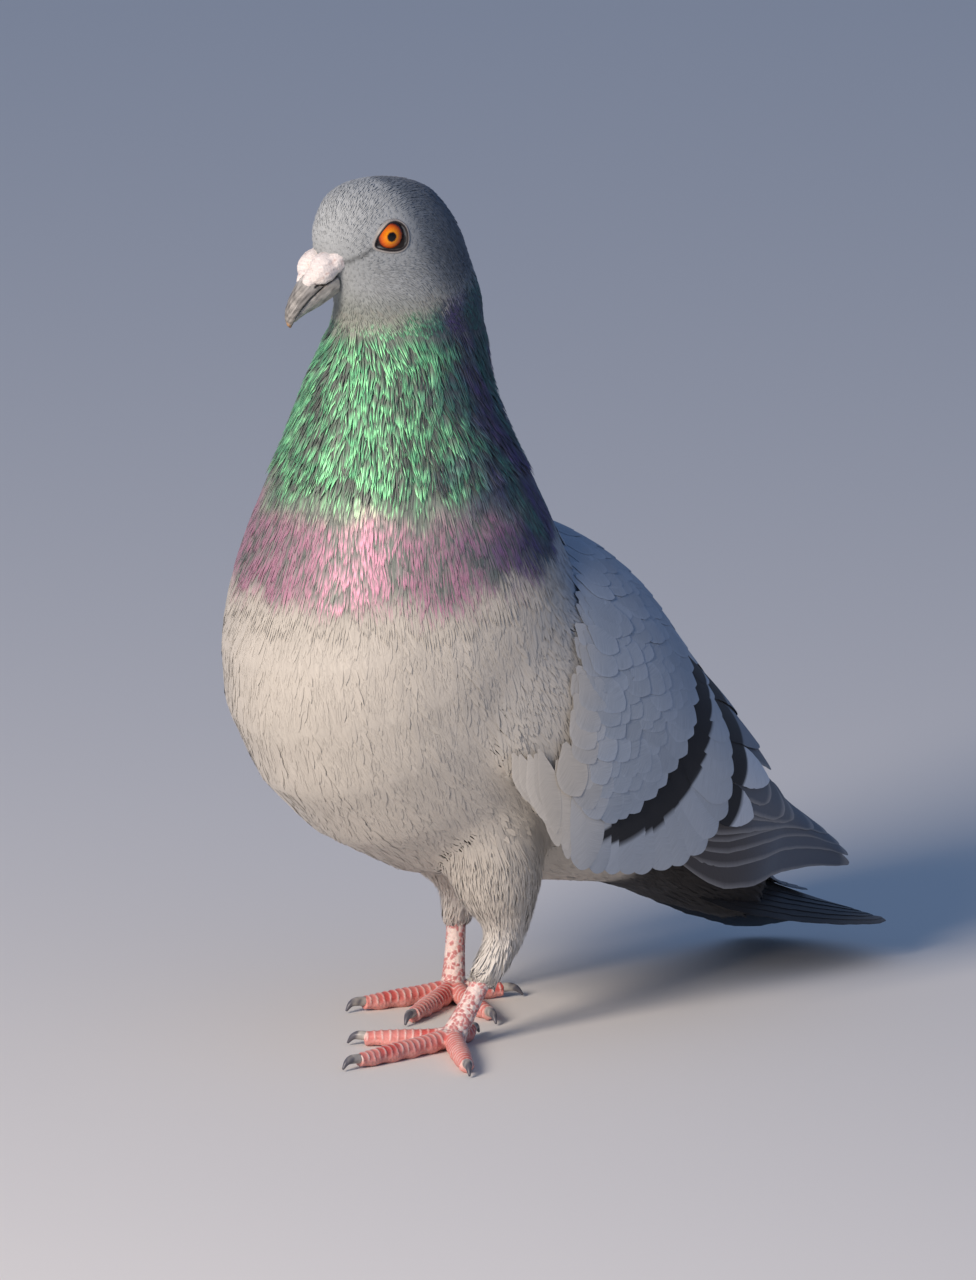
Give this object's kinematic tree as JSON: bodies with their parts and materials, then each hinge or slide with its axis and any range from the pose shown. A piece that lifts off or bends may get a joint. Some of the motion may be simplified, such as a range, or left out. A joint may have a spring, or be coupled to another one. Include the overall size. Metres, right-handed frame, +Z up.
{
  "type": "pigeon",
  "caption": "Still, life-size feral rock pigeon standing alert, with folded wings, an iridescent neck, dark wing bars and scaled pink feet.",
  "frame": {"origin": "the middle of the bird's outline from above, on the floor that it stands on", "axes": "+Z up, -Y forwards along the bill, +X to the bird's left"},
  "size_m": [0.1056, 0.2218, 0.2432],
  "materials": {
    "slate_feather": "matte, fine grey plumage",
    "neck_feather": "glossy, iridescent green and pink plumage",
    "pale_feather": "soft, matte pale grey plumage",
    "wing_feather": "smooth, matte blue-grey plumage with dark bars",
    "flight_feather": "smooth, satin slate-grey flight feathers",
    "tail_feather": "smooth, satin dark tail feathers",
    "horn": "satin dark grey horn",
    "cere": "rough, chalky white skin",
    "eye": "wet, glossy orange iris with a dark pupil",
    "scaled_skin": "satin pink-red skin with pale scales",
    "claw": "satin dark grey horn"
  },
  "bodies": {
    "root": {"head": "slate_feather", "neck": "neck_feather", "trunk": "pale_feather", "tail": "tail_feather", "cere": "cere", "upper_bill": "horn", "lower_bill": "horn", "left_wing": "wing_feather", "left_primaries": "flight_feather", "left_eye": "eye", "left_thigh": "pale_feather", "left_shank": "scaled_skin", "left_toe_hallux": "scaled_skin", "left_claw_hallux": "claw", "left_toe_inner": "scaled_skin", "left_claw_inner": "claw", "left_toe_middle": "scaled_skin", "left_claw_middle": "claw", "left_toe_outer": "scaled_skin", "left_claw_outer": "claw", "right_wing": "wing_feather", "right_primaries": "flight_feather", "right_eye": "eye", "right_thigh": "pale_feather", "right_shank": "scaled_skin", "right_toe_hallux": "scaled_skin", "right_claw_hallux": "claw", "right_toe_inner": "scaled_skin", "right_claw_inner": "claw", "right_toe_middle": "scaled_skin", "right_claw_middle": "claw", "right_toe_outer": "scaled_skin", "right_claw_outer": "claw"}
  },
  "joints": []
}
